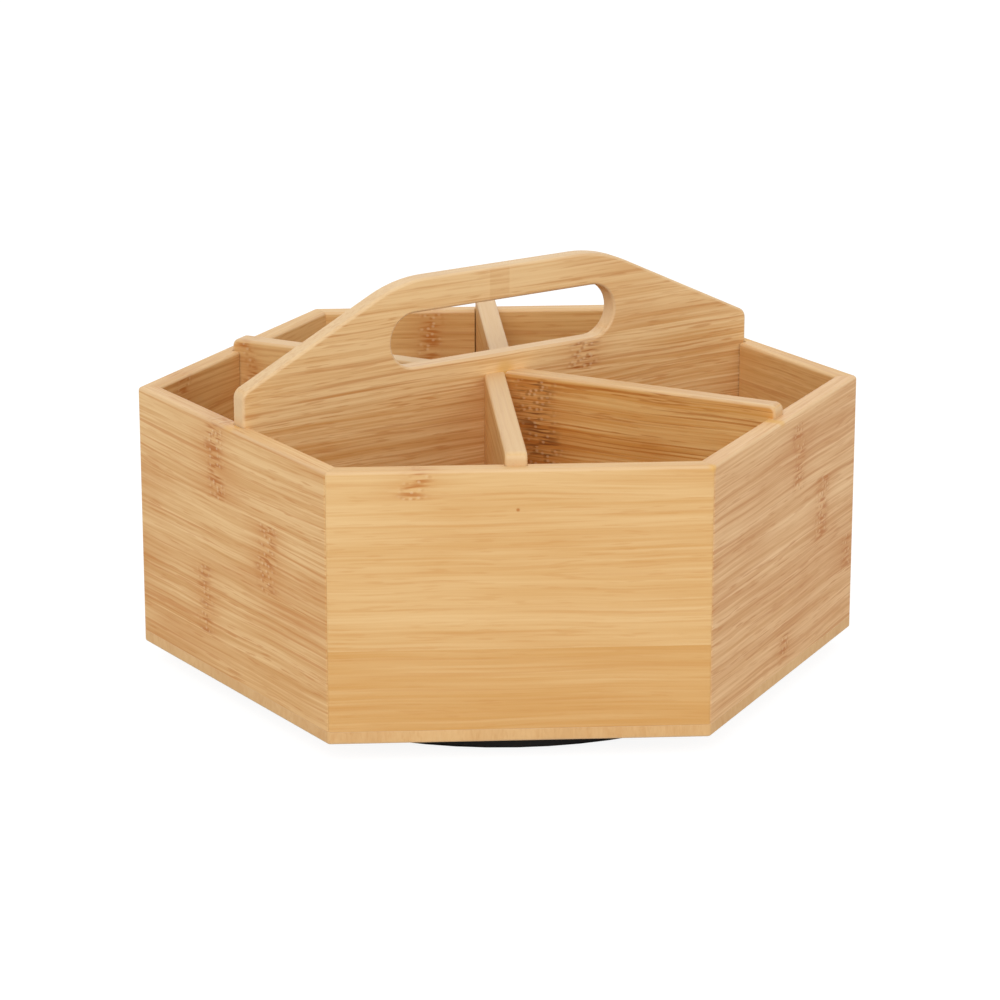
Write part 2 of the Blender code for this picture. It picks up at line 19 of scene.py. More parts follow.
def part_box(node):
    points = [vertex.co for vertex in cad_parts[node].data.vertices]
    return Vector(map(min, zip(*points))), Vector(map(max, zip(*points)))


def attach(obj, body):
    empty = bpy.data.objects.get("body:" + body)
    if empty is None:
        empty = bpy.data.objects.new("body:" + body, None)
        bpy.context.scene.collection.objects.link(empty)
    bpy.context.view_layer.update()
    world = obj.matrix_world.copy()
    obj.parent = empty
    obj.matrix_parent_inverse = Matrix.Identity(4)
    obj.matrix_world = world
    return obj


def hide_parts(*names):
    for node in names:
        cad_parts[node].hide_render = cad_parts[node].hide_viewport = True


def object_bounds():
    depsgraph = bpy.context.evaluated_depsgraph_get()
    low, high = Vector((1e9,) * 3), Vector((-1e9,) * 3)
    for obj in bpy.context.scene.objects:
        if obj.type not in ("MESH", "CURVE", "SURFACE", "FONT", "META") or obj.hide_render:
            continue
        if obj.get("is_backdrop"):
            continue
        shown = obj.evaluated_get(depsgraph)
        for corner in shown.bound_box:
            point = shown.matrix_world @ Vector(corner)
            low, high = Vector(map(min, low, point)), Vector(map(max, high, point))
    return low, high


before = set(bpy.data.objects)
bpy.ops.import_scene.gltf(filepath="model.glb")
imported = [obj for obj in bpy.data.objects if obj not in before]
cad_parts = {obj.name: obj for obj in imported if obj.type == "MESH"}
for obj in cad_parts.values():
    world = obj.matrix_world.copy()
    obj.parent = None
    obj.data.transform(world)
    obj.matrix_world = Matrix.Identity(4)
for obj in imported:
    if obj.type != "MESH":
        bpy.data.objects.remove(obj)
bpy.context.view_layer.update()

# %% [markdown]
# The camera comes first, because everything is compared with the photograph from there. It stands a metre and a half
# away with a long lens, a little above the box and to the left of its front corner. Its place is a distance and three
# angles round the middle of the object.

# %% Camera
AZIMUTH, PITCH, ROLL = -33.534, 16.924, 0.018
DISTANCE = 1.52824
AIM = Vector((0.0002, -0.0001, 0.06579))
LENS, SENSOR_WIDTH, CLIP_END = 135.417, 36.0, 50.0


def direction(azimuth, elevation):
    """The way from the object to a camera or lamp. Azimuth 0 is straight in front, and angles are in degrees."""
    a, e = math.radians(azimuth), math.radians(elevation)
    return Vector((math.sin(a) * math.cos(e), -math.cos(a) * math.cos(e), math.sin(e)))


def add_object(name, data):
    """A new object in the scene."""
    placed = bpy.data.objects.new(name, data)
    bpy.context.scene.collection.objects.link(placed)
    return placed


optics = bpy.data.cameras.new("camera")
optics.lens, optics.sensor_width, optics.clip_end = LENS, SENSOR_WIDTH, CLIP_END
camera = add_object("camera", optics)
backwards, roll = direction(AZIMUTH, PITCH), Quaternion((0, 0, 1), math.radians(ROLL))
camera.location = AIM + backwards * DISTANCE
camera.rotation_euler = (backwards.to_track_quat("Z", "Y") @ roll).to_euler()
bpy.context.scene.camera = camera
bpy.context.scene.view_settings.view_transform = "Standard"
print("camera at", [round(v, 3) for v in camera.location])

# %% [markdown]
# A material is a small graph of nodes. These helpers add a node and wire its inputs, do a sum, make a smooth step,
# mix two colours or stretch noise into grain. An effect that several materials share becomes a group, which puts out
# masks, values and colours.

# %% Helpers for nodes
def add_node(tree, kind, inputs=None, **settings):
    """A new node; inputs gives its sockets, by name or number, values or the outputs of other nodes."""
    node = tree.nodes.new("ShaderNode" + kind)
    for key, value in settings.items():
        setattr(node, key, value)
    for key, value in (inputs or {}).items():
        if isinstance(value, bpy.types.NodeSocket):
            tree.links.new(value, node.inputs[key])
        else:
            node.inputs[key].default_value = value
    return node


def calc(tree, operation, *values):
    """The output of a Math node."""
    return add_node(tree, "Math", dict(enumerate(values)), operation=operation).outputs[0]


def times(tree, product, *others):
    """The product of several values."""
    for value in others:
        product = calc(tree, "MULTIPLY", product, value)
    return product


def centred(tree, value):
    """A value between 0 and 1, moved to lie round 0."""
    return calc(tree, "SUBTRACT", value, 0.5)


def split(tree, vector):
    """The outputs X, Y and Z of a vector."""
    return add_node(tree, "SeparateXYZ", {0: vector}).outputs


def stretched(tree, vector, stretch):
    """A vector with its axes multiplied by three values."""
    return add_node(tree, "VectorMath", {0: vector, 1: stretch}, operation="MULTIPLY").outputs[0]


def step_up(tree, value, low, high, bottom=0.0, top=1.0):
    """A smooth rise from bottom to top while value goes from low to high, or falls to high where high is less."""
    inputs = {"Value": value, "From Min": low, "From Max": high, "To Min": bottom, "To Max": top}
    return add_node(tree, "MapRange", inputs, interpolation_type="SMOOTHSTEP").outputs[0]


def mix(tree, factor, first, second):
    """Two colours mixed by factor."""
    return add_node(tree, "Mix", {0: factor, 6: first, 7: second}, data_type="RGBA").outputs[2]


def move_vector(tree, vector, x=0.0, y=0.0, z=0.0):
    """A vector with values added along its axes."""
    shift = add_node(tree, "CombineXYZ", {0: x, 1: y, 2: z}).outputs[0]
    return add_node(tree, "VectorMath", {0: vector, 1: shift}, operation="ADD").outputs[0]


def grain_noise(tree, vector, stretch, detail=2.0, roughness=0.5):
    """Noise stretched over a vector: stretch is how many features fit in a metre along each axis."""
    inputs = {"Vector": stretched(tree, vector, stretch), "Scale": 1.0, "Detail": detail, "Roughness": roughness}
    return add_node(tree, "TexNoise", inputs).outputs[0]


def open_group(name, inputs, outputs):
    """A node group with named sockets: the group, what its inputs give, and its output node."""
    tree = bpy.data.node_groups.new(name, "ShaderNodeTree")
    for way, kinds in (("INPUT", inputs), ("OUTPUT", outputs)):
        for kind, labels in kinds.items():
            for label in labels:
                tree.interface.new_socket(name=label, in_out=way, socket_type="NodeSocket" + kind)
    return tree, tree.nodes.new("NodeGroupInput").outputs, tree.nodes.new("NodeGroupOutput")


def use_group(tree, group, inputs):
    """A group placed in a material; returns its outputs."""
    return add_node(tree, "Group", inputs, node_tree=group).outputs


def send(tree, result, **values):
    """Wires the outputs of a group."""
    for label, value in values.items():
        tree.links.new(value, result.inputs[label])


def srgb(red, green, blue):
    """A colour as a paint chart gives it, 0 to 255, as the linear values that the shader needs."""
    share = np.array((red, green, blue)) / 255
    linear = np.where(share <= 0.04045, share / 12.92, ((share + 0.055) / 1.055) ** 2.4)
    return (*(float(v) for v in linear), 1.0)


def empty_tree(data):
    """The node tree of a material or of the world, emptied."""
    data.use_nodes = True
    data.node_tree.nodes.clear()
    return data.node_tree


def new_material(name, **settings):
    """A material with one Principled surface. Settings go to the shader's own sockets."""
    material = bpy.data.materials.new(name)
    tree = empty_tree(material)
    surface = add_node(tree, "BsdfPrincipled")
    tree.links.new(surface.outputs[0], add_node(tree, "OutputMaterial").inputs["Surface"])
    for label, value in settings.items():
        surface.inputs[label.replace("_", " ")].default_value = value
    return material, tree, surface


def dress(tree, surface, colour, roughness, height, relief):
    """Gives a surface its colour, roughness and relief, whose depth is in metres."""
    bump = add_node(tree, "Bump", {"Height": height, "Distance": relief, "Strength": 0.5}).outputs[0]
    for source, socket in ((colour, "Base Color"), (roughness, "Roughness"), (bump, "Normal")):
        tree.links.new(source, surface.inputs[socket])


# %% [markdown]
# A pale world gives soft light from every side, and three large lamps give the box its form: a key lamp over the
# camera's left shoulder, a weaker fill on the right and a soft one behind for the far walls. The world is fully white
# only for the camera and in reflections, and dimmer as light on the wood.

# %% World and lamps
WORLD_LIGHT = 0.6
BOX_MIDDLE = 0.07

world = bpy.data.worlds.new("studio")
bpy.context.scene.world = world
tree = empty_tree(world)
path = add_node(tree, "LightPath").outputs
seen = calc(tree, "MAXIMUM", path["Is Camera Ray"], path["Is Transmission Ray"])
seen = calc(tree, "MAXIMUM", seen, path["Is Glossy Ray"])
strength = add_node(tree, "MapRange", {"Value": seen, "To Min": WORLD_LIGHT, "To Max": 1.0}).outputs[0]
sky = add_node(tree, "Background", {"Color": [1.0] * 4, "Strength": strength})
tree.links.new(sky.outputs[0], add_node(tree, "OutputWorld").inputs["Surface"])

# Azimuth and elevation in degrees, distance and size in metres, power in watts
LAMPS = {
    "key": (-46, 40, 6.0, 3.4, 146.0),
    "fill": (25, 30, 2.8, 1.8, 9.0),
    "back": (150, 50, 2.8, 1.8, 8.0),
}
for name, (azimuth, elevation, distance, size, power) in LAMPS.items():
    lamp = bpy.data.lights.new(name + "_lamp", "AREA")
    lamp.shape, lamp.size, lamp.energy = "SQUARE", size, power
    placed, away = add_object(name + "_lamp", lamp), direction(azimuth, elevation)
    placed.location = away * distance + Vector((0.0, 0.0, BOX_MIDDLE))
    placed.rotation_euler = away.to_track_quat("Z", "Y").to_euler()
print("lamps", list(LAMPS))

# %% [markdown]
# The floor is a pale sheet. For the camera it also glows a little, which lifts it to paper white and leaves only a
# faint shadow round the turntable. For the light that bounces up to the box it is plain pale paint.

# %% Floor
FLOOR_SIZE = 8.0
PAINT, PAPER, WHITE = ((*[level] * 3, 1.0) for level in (0.78, 0.18, 1.0))
GLOW = 0.91

mesh = bpy.data.meshes.new("floor")
half = FLOOR_SIZE / 2
mesh.from_pydata([(-half, -half, 0), (half, -half, 0), (half, half, 0), (-half, half, 0)], [], [(0, 1, 2, 3)])
floor = add_object("floor", mesh)
material = bpy.data.materials.new("pale_floor")
tree = empty_tree(material)
bounce = add_node(tree, "BsdfDiffuse", {"Color": PAINT}).outputs[0]
paper = add_node(tree, "BsdfDiffuse", {"Color": PAPER}).outputs[0]
glow = add_node(tree, "Emission", {"Color": WHITE, "Strength": GLOW}).outputs[0]
lifted = add_node(tree, "AddShader", {0: paper, 1: glow}).outputs[0]
to_camera = add_node(tree, "LightPath").outputs["Is Camera Ray"]
shader = add_node(tree, "MixShader", {0: to_camera, 1: bounce, 2: lifted}).outputs[0]
tree.links.new(shader, add_node(tree, "OutputMaterial").inputs["Surface"])
mesh.materials.append(material)
floor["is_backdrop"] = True

# %% [markdown]
# ## Board shapes
#
# Every wooden part is a flat board with rounded arrises, the edges that are broken with sandpaper. A Bevel modifier
# would round them all, but the ends of these boards sit in grooves or against each other, where nothing is sanded. So
# each board is a stack of closed loops: the outline is carried through the thickness, and near each face it draws in
# along a quarter circle, only on the sides that a hand could reach.

# %% Loops and insets
ARC_STEPS = 8
ARRIS_STEPS = 5


def rounded(corners):
    """A closed outline, counter-clockwise, with its corners rounded.

    Each row is x, y, radius, eased; eased is 1 where the side that starts there gets a rounded arris. With 2h the
    angle between the two sides, the arc touches them at radius / tan h from the corner, and its centre lies at
    radius / sin h on the line that halves the angle. Between its two ends the arc turns by 180 degrees - 2h.
    """
    rows = np.array(corners, float)
    points, eased = [], []
    for before, row, after in zip(np.roll(rows, 1, 0), rows, np.roll(rows, -1, 0)):
        corner, radius = row[:2], row[2]
        if radius == 0:
            points.append(corner[None])
            eased.append([row[3]])
            continue
        back, ahead = (way / np.linalg.norm(way) for way in (before[:2] - corner, after[:2] - corner))
        half = np.arccos(back @ ahead) / 2
        turn = np.pi - 2 * half
        middle = (back + ahead) / np.linalg.norm(back + ahead) * radius / np.sin(half)
        start, end = (way * radius / np.tan(half) - middle for way in (back, ahead))
        share = np.linspace(0, 1, ARC_STEPS + 1)[:, None]
        arc = (start * np.sin((1 - share) * turn) + end * np.sin(share * turn)) / np.sin(turn)
        points.append(corner + middle + arc)
        eased.append([min(before[3], row[3])] * ARC_STEPS + [row[3]])
    return np.concatenate(points), np.concatenate(eased)


def inset_directions(outline, eased):
    """How each point of an outline moves when its eased sides move inwards by one unit.

    n1 and n2 are the inward normals of the sides before and after the point, and e1 and e2 say how much each side
    moves. The move m solves n1 . m = e1 and n2 . m = e2. Where both sides are in line, it is the normal itself.
    """
    side = np.roll(outline, -1, 0) - outline
    second = np.stack((-side[:, 1], side[:, 0]), 1) / np.hypot(side[:, 0], side[:, 1])[:, None]
    first = np.roll(second, 1, 0)
    e1, e2 = np.roll(eased, 1), eased
    across = first[:, 0] * second[:, 1] - first[:, 1] * second[:, 0]
    in_line = np.abs(across) < 1e-3
    across = np.where(in_line, 1, across)
    move = np.stack((e1 * second[:, 1] - e2 * first[:, 1], e2 * first[:, 0] - e1 * second[:, 0]), 1) / across[:, None]
    move[in_line] = (first * ((e1 + e2) / 2)[:, None])[in_line]
    return move


def ring_faces(rows, count, start=0):
    """Four-sided faces between the neighbouring closed loops of a grid."""
    row = np.arange(rows - 1)[:, None] * count + start
    here = np.arange(count)
    after = (here + 1) % count
    return np.stack((row + here, row + after, row + count + after, row + count + here), -1).reshape(-1, 4)


def arris(level, ease, direction):
    """The loops of one arris, from the flat face to the side: height, inset and a pale mask for each, partly sanded
    wear and partly a painted highlight.

    At angle t on a quarter circle of radius e the height is e (1 - cos t) from the face and the inset e (1 - sin t).
    """
    if ease == 0:
        return np.array([level]), np.zeros(1), np.zeros(1)
    t = np.linspace(0, np.pi / 2, ARRIS_STEPS + 1)
    return level + direction * ease * (1 - np.cos(t)), ease * (1 - np.sin(t)), np.sin(2 * t)


def slab(outline, eased, low, high, ease_low, ease_high, slant=0.0, hole=None):
    """A board as a stack of loops between two flat faces: its points, faces and arris mask of sanded wear and painted
    highlight.

    A point of the outline p with its move m lies at p + inset m on each loop. Each point slides along the board by
    its slant times the height, for a joint that is cut askew. A hole is a second outline, clockwise, whose moves go
    into the wood.
    """
    lower, upper = arris(low, ease_low, 1), arris(high, ease_high, -1)
    heights, insets, wear_and_highlight = (
        np.concatenate((a, m, b[::-1])) for a, m, b in zip(lower, ([(low + high) / 2], [0.0], [0.0]), upper)
    )
    points, faces, arris_wear_and_highlight = [], [], []
    start = 0
    for loop, flags in ((outline, eased),) + ((hole,) if hole else ()):
        move = inset_directions(loop, flags)
        plan = loop + insets[:, None, None] * move
        plan[:, :, 0] += slant * heights[:, None]
        level = np.broadcast_to(heights[:, None, None], (*plan.shape[:2], 1))
        points.append(np.concatenate((plan, level), 2).reshape(-1, 3))
        arris_wear_and_highlight.append((wear_and_highlight[:, None] * np.minimum(np.hypot(move[:, 0], move[:, 1]), 1)).ravel())
        faces += ring_faces(len(heights), len(loop), start).tolist()
        start += plan.shape[0] * plan.shape[1]
    count, steps = len(outline), len(heights) - 1
    if not hole:
        faces += [np.arange(count)[::-1].tolist(), (np.arange(count) + steps * count).tolist()]
    else:
        inner, first = hole[0], (steps + 1) * count
        left, right = outline[:, 0].argmin(), outline[:, 0].argmax()
        inner_left, inner_right = inner[:, 0].argmin(), inner[:, 0].argmax()
        for a, b, c, d in ((right, left, inner_left, inner_right), (left, right, inner_right, inner_left)):
            outer_part = (a + np.arange((b - a) % count + 1)) % count
            inner_part = (c + np.arange((d - c) % len(inner) + 1)) % len(inner) + first
            below = np.concatenate((outer_part, inner_part))
            above = below + steps * np.where(below < count, count, len(inner))
            faces += [below[::-1].tolist(), above.tolist()]
    return np.concatenate(points), faces, np.concatenate(arris_wear_and_highlight)


SHARP_ANGLE = math.radians(34)


def add_piece(name, node, points, faces, arris_wear_and_highlight=None, body="box"):
    """A piece of the object: a mesh, smooth up to a sharp edge, with its body and the node it replaces."""
    mesh = bpy.data.meshes.new(name)
    mesh.from_pydata(points, [], faces)
    mesh.update()
    if arris_wear_and_highlight is not None:
        # The arris attribute: sanded wear and a painted highlight, shown as a paler band.
        mesh.attributes.new("arris", "FLOAT", "POINT").data.foreach_set("value", arris_wear_and_highlight.astype(np.float32))
    mesh.polygons.foreach_set("use_smooth", np.ones(len(mesh.polygons), bool))
    mesh.set_sharp_from_angle(angle=SHARP_ANGLE)
    piece = add_object(name, mesh)
    piece.modifiers.new("even_flats", "WEIGHTED_NORMAL").keep_sharp = True
    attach(piece, body)
    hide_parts(node)
    return piece


# %% [markdown]
# Six wall boards stand in a ring, mitred where they meet, each with a groove down its inner face for the end of an
# inner board. A wall is drawn from above, the way along the board first and the way out from the axis second. The
# dividers' grooves lie a little off the middle of their walls, in the same sense on opposite walls. Three grooves are
# a shade too wide on one side, as sawn grooves are, and show a thin dark line beside the board.

# %% Walls
SEAM = 0.00006
LOOSE = 0.0004
CORNER_RADIUS = 0.002
RIM_EASE = 0.0014
GROOVE_DEPTH = 0.0035
MITRE = math.radians(30)

wall_low, wall_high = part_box("wall_right")
handle_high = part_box("handle_panel")[1]
APOTHEM, INNER_APOTHEM = wall_high.x, wall_low.x
BOARD_BOTTOM, RIM = wall_low.z, wall_high.z
HALF_HANDLE = handle_high.y
WALL_FOOT, BASE_TOP = BOARD_BOTTOM - 0.0002, BOARD_BOTTOM - 0.00025
HALF_DIVIDER = 0.00425
OFF_MIDDLE = 0.0012
# The way each wall faces in degrees, the side its groove lies to, and on which sides the groove is too wide
WALLS = {
    "right": (0, 0, (0, 1)), "back_right": (60, 1, (1, 0)), "back_left": (120, -1, (1, 0)),
    "left": (180, 0, (0, 0)), "front_left": (240, 1, (0, 0)), "front_right": (300, -1, (0, 0)),
}


def wall_plan(near, far):
    """The wall from above, counter-clockwise: inner face with its groove, mitre, corner arc, outer face and back.

    The corner arc has its centre on the mitre plane, one radius inside the outer face. It turns 30 degrees, from the
    outer face to the mitre.
    """
    tangent, shift = math.tan(MITRE), SEAM / 2 / math.cos(MITRE)
    groove_end = INNER_APOTHEM + GROOVE_DEPTH
    t = np.linspace(MITRE, 0, ARC_STEPS // 2 + 1)
    centre = (APOTHEM - CORNER_RADIUS) * tangent - shift
    arc = np.stack((centre + CORNER_RADIUS * np.sin(t), APOTHEM - CORNER_RADIUS * (1 - np.cos(t))), 1)
    inner = INNER_APOTHEM * tangent - shift
    face = [(-inner, INNER_APOTHEM), (near, INNER_APOTHEM), (near, groove_end),
            (far, groove_end), (far, INNER_APOTHEM), (inner, INNER_APOTHEM)]
    outline = np.concatenate((face, arc, arc[::-1] * (-1, 1)))
    eased = np.concatenate(([1, 0, 0, 0, 1, 0], np.ones(2 * len(arc) - 1), [0]))
    return outline, eased


walls = {}
for label, (degrees, side, (before, after)) in WALLS.items():
    middle, half_width = side * OFF_MIDDLE, (HALF_DIVIDER if side else HALF_HANDLE) + SEAM
    plan, eased = wall_plan(middle - half_width - before * LOOSE, middle + half_width + after * LOOSE)
    angle = math.radians(degrees)
    axes = np.array(((math.sin(angle), -math.cos(angle), 0), (math.cos(angle), math.sin(angle), 0), (0, 0, 1)))
    points, faces, arris_wear_and_highlight = slab(plan, eased, WALL_FOOT, RIM, 0, RIM_EASE)
    walls[label] = add_piece(f"{label}_wall", f"wall_{label}", points @ axes, faces, arris_wear_and_highlight)
print("walls", len(walls), "points each", len(points))

# %% [markdown]
# The inner boards are drawn from the side and stand on edge. The handle board runs whole from wall to wall. The four
# half dividers are one shape, cut off askew at the handle board, so that their ends lie flat against its faces. There
# they sit side by side, so the two halves of a line look as if they miss each other.

# %% Handle board and half dividers
BOARD_EASE = 0.0012
DIVIDER_CORNER = 0.003
END_CORNER = 0.0045
SHOULDER_CORNER = 0.055
END_TOP = RIM + 0.0134
HANDLE_FLAT = 0.0479
GRIP_HALF_LENGTH, GRIP_RADIUS, GRIP_BAR = 0.0533, 0.011, 0.0136
HALF_BUTT_GAP = 0.00015

REACH, HANDLE_TOP = handle_high.x, handle_high.z
GRIP_HEIGHT = HANDLE_TOP - GRIP_BAR - GRIP_RADIUS
DIVIDER_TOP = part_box("divider_low")[1].z
DIVIDERS = {"high_far": (1, 1), "low_far": (-1, 1), "high_near": (-1, -1), "low_near": (1, -1)}


def upright_axes(degrees):
    """The way along a standing board, up, and out of its right-hand face."""
    angle = math.radians(degrees)
    return np.array(((math.cos(angle), math.sin(angle), 0), (0, 0, 1), (math.sin(angle), -math.cos(angle), 0)))


def half_divider(across, along):
    """A half divider in one quarter of the plan; across and along are the signs of that quarter.

    It runs from s, on the handle board's face beside the middle, to w, just off the middle of its wall. Its end lies
    in the plane of that face, so at height h over the board's own middle it slides along by h / tan of its angle.
    """
    third = math.radians(60)
    s = np.array((HALF_DIVIDER / math.sin(third) + HALF_BUTT_GAP, HALF_HANDLE))
    w = np.array((INNER_APOTHEM * math.cos(third) + OFF_MIDDLE * math.sin(third),
                  INNER_APOTHEM * math.sin(third) - OFF_MIDDLE * math.cos(third)))
    run = w - s
    length, angle = np.hypot(*run), math.atan2(run[1], run[0])
    reach = length + GROOVE_DEPTH - SEAM
    outline, eased = rounded([
        (SEAM, BOARD_BOTTOM, 0, 0), (reach, BOARD_BOTTOM, 0, 1), (reach, DIVIDER_TOP, DIVIDER_CORNER, 1),
        (SEAM, DIVIDER_TOP, 0, 0),
    ])
    askew = (outline[:, 0] == SEAM) * across * along / math.tan(angle)
    points, faces, arris_wear_and_highlight = slab(outline, eased, -HALF_DIVIDER, HALF_DIVIDER, BOARD_EASE, BOARD_EASE, askew)
    degrees = math.degrees(math.atan2(along * run[1], across * run[0]))
    place = np.array((across * s[0], along * s[1], 0))
    return points @ upright_axes(degrees) + place, faces, arris_wear_and_highlight, degrees


def grip_outline(steps=24):
    """The grip slot, clockwise: two half circles of one radius, their centres apart by the straight length."""
    t = np.linspace(np.pi, 0, steps + 1)
    cap = np.stack((np.sin(t), -np.cos(t)), 1) * GRIP_RADIUS
    middle = np.array((GRIP_HALF_LENGTH - GRIP_RADIUS, GRIP_HEIGHT))
    outline = np.concatenate((cap + middle, middle * (-1, 1) - cap))
    return outline, np.ones(len(outline))


outline, eased = rounded([
    (-REACH, BOARD_BOTTOM, 0, 0), (REACH, BOARD_BOTTOM, 0, 1), (REACH, END_TOP, END_CORNER, 1),
    (HANDLE_FLAT, HANDLE_TOP, SHOULDER_CORNER, 1), (-HANDLE_FLAT, HANDLE_TOP, SHOULDER_CORNER, 1),
    (-REACH, END_TOP, END_CORNER, 1),
])
points, faces, arris_wear_and_highlight = slab(outline, eased, -HALF_HANDLE, HALF_HANDLE, BOARD_EASE, BOARD_EASE, hole=grip_outline())
boards, board_turn = {}, {"handle_board": 0.0}
boards["handle_board"] = add_piece("handle_board", "handle_panel", points @ upright_axes(0), faces, arris_wear_and_highlight)
for label, (across, along) in DIVIDERS.items():
    points, faces, arris_wear_and_highlight, board_turn[label] = half_divider(across, along)
    node = "divider_" + label.replace("_near", "")
    boards[label] = add_piece(f"divider_{label}_half", node, points, faces, arris_wear_and_highlight)
    print(label, "turned", round(board_turn[label], 2), "points", len(points))

# %% [markdown]
# The base board is one thin hexagon under the walls and flush with them. Its lower edge is rounded, and its upper edge
# is broken only a little, which leaves the fine line between base and wall.

# %% Base board
BASE_EASE = 0.001
BASE_TOP_EASE = 0.0002

corner = APOTHEM / math.cos(MITRE)
turns = MITRE + np.radians(60) * np.arange(6)
hexagon = np.stack((np.cos(turns), np.sin(turns)), 1) * corner
outline, eased = rounded([(x, y, CORNER_RADIUS, 1) for x, y in hexagon])
points, faces, arris_wear_and_highlight = slab(outline, eased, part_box("base_board")[0].z, BASE_TOP, BASE_EASE, BASE_TOP_EASE)
base_piece = add_piece("bottom_board", "base_board", points, faces, arris_wear_and_highlight)

# %% [markdown]
# ## Bamboo
#
# Bamboo board is glued up from strips about 30 mm wide, split from the stem and pressed flat. The fibres run along each
# strip, so the grain is very straight: broad soft bands, fine lines about a millimetre apart, and warm threads a hand's
# breadth long. The noise behind these is stretched some twenty to eighty times along the board. Short nicks lie all
# over it, and dashes and round pores are there for the rings. Beside each pale pore sits a painted shadow, a dark dot a
# little off to one side.

# %% Grain of the fibres
SIGNALS = ("Bands", "Lines", "Threads", "Patches", "Nicks", "DashesAndPoreShadows", "Dots")
SWAY = 0.006
WAVES = {
    "bands": (5, 85, 105), "coarse": (9, 400, 480), "fine": (20, 1000, 1250), "threads": (9, 600, 720),
    "nicks": (75, 950, 1100), "dashes": (95, 700, 780),
}
PORES_ALONG, PORES_UP = 350, 430

fibres, given, result = open_group("bamboo_fibres", {"Vector": ["Board"], "Float": ["Seed"]}, {"Float": SIGNALS})
shifted = move_vector(fibres, given["Board"], *(times(fibres, given["Seed"], factor) for factor in (3.1, 1.7, 2.3)))
sway = times(fibres, centred(fibres, grain_noise(fibres, shifted, (9, 10, 12))), SWAY)
swayed = move_vector(fibres, shifted, z=sway)
waves = {label: grain_noise(fibres, swayed, stretch, 1) for label, stretch in WAVES.items()}
lines = calc(fibres, "MULTIPLY_ADD", waves["coarse"], 0.5, times(fibres, waves["fine"], 0.5))
threads = step_up(fibres, waves["threads"], 0.56, 0.68)
nicks = step_up(fibres, waves["nicks"], 0.56, 0.7)
dashes = step_up(fibres, waves["dashes"], 0.47, 0.66)
patches = grain_noise(fibres, shifted, (11, 30, 34))
parts = split(fibres, shifted)
cells = {0: times(fibres, parts["X"], PORES_ALONG), 1: times(fibres, parts["Z"], PORES_UP)}
cells = add_node(fibres, "CombineXYZ", cells).outputs[0]


def pore_marks(vector, reach):
    """Round marks in about half of the cells of a flat pattern, soft from 0.1 to reach of a cell."""
    pores = add_node(fibres, "TexVoronoi", {"Vector": vector, "Scale": 1.0}, voronoi_dimensions="2D").outputs
    chosen = step_up(fibres, add_node(fibres, "SeparateColor", {0: pores["Color"]}).outputs[0], 0.4, 0.5)
    return times(fibres, chosen, step_up(fibres, pores["Distance"], reach, 0.1))


dots = pore_marks(cells, 0.34)
# Painted shadow: the pores again, moved a little, as dark dots beside the pale ones.
shadows = pore_marks(move_vector(fibres, cells, x=0.42, y=0.16), 0.44)
dashes_and_pore_shadows = calc(fibres, "MAXIMUM", dashes, times(fibres, shadows, 0.6))
send(fibres, result, **dict(zip(SIGNALS, (waves["bands"], lines, threads, patches, nicks, dashes_and_pore_shadows, dots))))

# %% [markdown]
# Every hand's breadth or two the stem has a ring, where the fibres cross over. On a strip it shows as an upright band
# of brown dashes and pale pores, as high as the strip and about a centimetre wide. The wood on both sides of it is
# warmer and streaked. One group makes one ring, and a board gets as many as it needs.

# %% Rings of the stem
RING_INPUTS = ("Along", "Low", "High", "Width", "Strength")
WANDER = 0.012
SOFT_END = 0.001

ring, given, result = open_group(
    "stem_ring", {"Vector": ["Board"], "Float": RING_INPUTS}, {"Float": ["Core", "Halo"]},
)
parts = split(ring, given["Board"])
wander = centred(ring, grain_noise(ring, given["Board"], (20, 40, 80), 2))
offset = calc(ring, "SUBTRACT", parts["X"], given["Along"])
offset = calc(ring, "ABSOLUTE", calc(ring, "MULTIPLY_ADD", wander, WANDER, offset))
within = calc(ring, "DIVIDE", offset, given["Width"])
above = step_up(ring, calc(ring, "SUBTRACT", parts["Z"], given["Low"]), 0.0, SOFT_END)
below = step_up(ring, calc(ring, "SUBTRACT", given["High"], parts["Z"]), 0.0, SOFT_END)
inside = times(ring, above, below, given["Strength"])
core = times(ring, step_up(ring, within, 1.3, 0.0), inside)
halo = times(ring, step_up(ring, within, 2.6, 0.2), inside)
send(ring, result, Core=core, Halo=halo)

# %% [markdown]
# The colour group turns those masks into wood. Pale and deep are the ends of the wood's own colour, warm is the tan of
# threads and of the streaks round a ring, and brown is for a ring's dashes, for the painted shadow beside its pale
# pores and for pin holes. Sanded arrises and sawn ends are paler, the arrises also with a painted highlight, and upper
# faces get a painted highlight for the light from above. Wiped glue stays a little yellow. The same signals give the
# roughness and a fine relief.

# %% Colour of bamboo
tint, given, result = open_group(
    "bamboo_colour",
    {"Color": ["Pale", "Deep", "Warm", "Brown", "Edge", "Glue"],
     "Float": [*SIGNALS, "Tone", "Figure", "Core", "Halo", "Worn", "Spot", "Wiped"]},
    {"Color": ["Color"], "Float": ["Roughness", "Height"]},
)
figure = given["Figure"]
shade = calc(tint, "MULTIPLY_ADD", centred(tint, given["Bands"]), 0.8, given["Tone"])
shade = calc(tint, "MULTIPLY_ADD", centred(tint, given["Patches"]), 0.7, shade)
shade = calc(tint, "MULTIPLY_ADD", times(tint, centred(tint, given["Lines"]), 3.4), figure, shade)
wood = mix(tint, step_up(tint, shade, -0.3, 1.3), given["Pale"], given["Deep"])
spread = step_up(tint, given["Bands"], 0.35, 0.6, 0.25, 0.75)
streaky = step_up(tint, given["Lines"], 0.4, 0.6, 0.4, 1.0)
